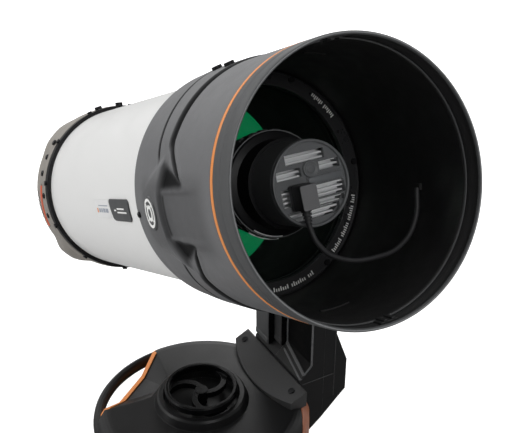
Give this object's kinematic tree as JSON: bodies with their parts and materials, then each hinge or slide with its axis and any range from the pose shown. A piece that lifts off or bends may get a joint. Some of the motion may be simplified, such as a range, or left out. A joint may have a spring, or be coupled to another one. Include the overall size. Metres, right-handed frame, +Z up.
{
  "type": "astrograph telescope on single-arm mount",
  "caption": "Short wide telescope with a camera at prime focus inside a flared dew shield, held by a single-arm alt-azimuth mount with a drum base.",
  "frame": {"origin": "centre of the base plate's tripod face, on the azimuth axis", "axes": "+Z up along the azimuth axis, +X the heading of the tube at rest, +Y towards the arm"},
  "size_m": [0.5623, 0.2785, 0.5952],
  "materials": {
    "cast_metal": "machined casting, dark grey",
    "steel": "turned",
    "dark_steel": "blackened",
    "brass": "machined",
    "mount_plastic": "fine moulded grain",
    "knob_plastic": "satin",
    "button_plastic": "gloss",
    "housing_plastic": "satin with fine grain",
    "lip_plastic": "satin",
    "liner_black": "flocked",
    "rear_plastic": "satin",
    "cap_plastic": "satin",
    "orange_plastic": "satin",
    "badge_plastic": "brushed print",
    "tube_paint": "semi-gloss white",
    "black_metal": "black anodised",
    "bare_aluminium": "milled",
    "motor_metal": "zinc and paint",
    "battery_wrap": "shrink wrap",
    "circuit_board": "solder mask",
    "cable_rubber": "moulded",
    "lens_glass": "coated",
    "mirror_coating": "polished"
  },
  "bodies": {
    "base": {"base_plate": "cast_metal", "azimuth_spindle": "steel", "azimuth_ring_gear": "brass"},
    "fork": {"drum_shell": "mount_plastic", "drum_floor": "cast_metal", "azimuth_bearings": "steel", "azimuth_motor": "motor_metal", "battery_pack": "battery_wrap", "control_board": "circuit_board", "port_panel": "knob_plastic", "mount_trim": "orange_plastic", "arm_flange": "mount_plastic", "flange_screws": "dark_steel", "arm_shell_inner": "mount_plastic", "arm_shell_outer": "mount_plastic", "arm_panel": "knob_plastic", "arm_frame": "cast_metal", "altitude_motor": "motor_metal", "altitude_bearings": "steel"},
    "azimuth_pinion": {"azimuth_pinion": "brass"},
    "azimuth_knob": {"azimuth_knob": "knob_plastic"},
    "power_button": {"power_button": "button_plastic"},
    "altitude_pinion": {"altitude_pinion": "brass"},
    "altitude_knob": {"altitude_knob": "knob_plastic"},
    "tube": {"altitude_shaft": "steel", "saddle_plate": "black_metal", "dovetail_bar": "black_metal", "tube_body": "tube_paint", "front_cell": "black_metal", "dew_shield": "housing_plastic", "shield_liner": "liner_black", "shield_lip": "lip_plastic", "accent_ring": "orange_plastic", "badges": "badge_plastic", "corrector_ring": "black_metal", "corrector_plate": "lens_glass", "cell_screws": "dark_steel", "thumb_screws": "dark_steel", "lens_barrel": "black_metal", "lens_elements": "lens_glass", "camera_body": "black_metal", "camera_sensor": "circuit_board", "camera_heatsink": "bare_aluminium", "camera_cap": "cap_plastic", "camera_cable": "cable_rubber", "rear_band": "black_metal", "rear_cell": "rear_plastic", "rear_trim": "orange_plastic", "mirror_bulkhead": "cast_metal", "focus_motor": "motor_metal", "fan_frame": "knob_plastic", "computer_board": "circuit_board"},
    "saddle_jaw": {"saddle_jaw": "black_metal"},
    "saddle_knob": {"saddle_knob": "knob_plastic"},
    "lock_ring": {"camera_lock_ring": "black_metal"},
    "filter_drawer": {"filter_drawer": "knob_plastic"},
    "mirror": {"primary_mirror": "mirror_coating", "mirror_cell": "cast_metal"},
    "focus_screw": {"focus_screw": "steel"},
    "fan": {"fan_rotor": "knob_plastic"}
  },
  "joints": [
    {"name": "azimuth", "type": "hinge", "parent": "base", "child": "fork", "pos_m": [0, 0, 0], "axis": [0, 0, 1], "continuous": true},
    {"name": "azimuth_drive", "type": "hinge", "parent": "fork", "child": "azimuth_pinion", "pos_m": [-0.06996, 0.04372, 0.016], "axis": [0, 0, 1], "continuous": true},
    {"name": "azimuth_clutch", "type": "hinge", "parent": "fork", "child": "azimuth_knob", "pos_m": [0, 0, 0.135], "axis": [0, 0, 1], "range_deg": [0, 270]},
    {"name": "power_press", "type": "slide", "parent": "fork", "child": "power_button", "axis": [-0.342, 0.9397, 0], "range_m": [0, 0.0015], "stiffness_N_per_m": 900},
    {"name": "altitude", "type": "hinge", "parent": "fork", "child": "tube", "pos_m": [0, 0.11, 0.385], "axis": [0, -1, 0], "range_deg": [-29, 66]},
    {"name": "altitude_drive", "type": "hinge", "parent": "fork", "child": "altitude_pinion", "pos_m": [0, 0.1265, 0.345], "axis": [0, -1, 0], "range_deg": [-200, 90]},
    {"name": "altitude_clutch", "type": "hinge", "parent": "tube", "child": "altitude_knob", "pos_m": [0, 0.15, 0.385], "axis": [0, 1, 0], "range_deg": [0, 270]},
    {"name": "saddle_clamp", "type": "slide", "parent": "tube", "child": "saddle_jaw", "axis": [-0.4067, 0, 0.9135], "range_m": [0, 0.005]},
    {"name": "saddle_screw", "type": "hinge", "parent": "saddle_jaw", "child": "saddle_knob", "pos_m": [-0.02359, 0.0955, 0.43799], "axis": [-0.4067, 0, 0.9135], "range_deg": [0, 905]},
    {"name": "camera_lock", "type": "hinge", "parent": "tube", "child": "lock_ring", "pos_m": [0, -0.0065, 0.385], "axis": [0.9135, 0, 0.4067], "range_deg": [0, 60]},
    {"name": "filter_slide", "type": "slide", "parent": "tube", "child": "filter_drawer", "axis": [-0.1524, -0.9272, 0.3422], "range_m": [0, 0.036]},
    {"name": "focus", "type": "slide", "parent": "tube", "child": "mirror", "axis": [0.9135, 0, 0.4067], "range_m": [-0.003, 0.003]},
    {"name": "focus_drive", "type": "hinge", "parent": "tube", "child": "focus_screw", "pos_m": [-0.14998, -0.0065, 0.25473], "axis": [0.9135, 0, 0.4067], "range_deg": [-545, 545]},
    {"name": "fan_spin", "type": "hinge", "parent": "tube", "child": "fan", "pos_m": [0, -0.0065, 0.385], "axis": [0.9135, 0, 0.4067], "continuous": true}
  ],
  "couplings": [
    {"joint": "azimuth_drive", "follows": "azimuth", "ratio": 4.5},
    {"joint": "altitude_drive", "follows": "altitude", "ratio": -3},
    {"joint": "saddle_screw", "follows": "saddle_clamp", "rad_per_m": 3141.6},
    {"joint": "focus_drive", "follows": "focus", "rad_per_m": 3141.6}
  ]
}
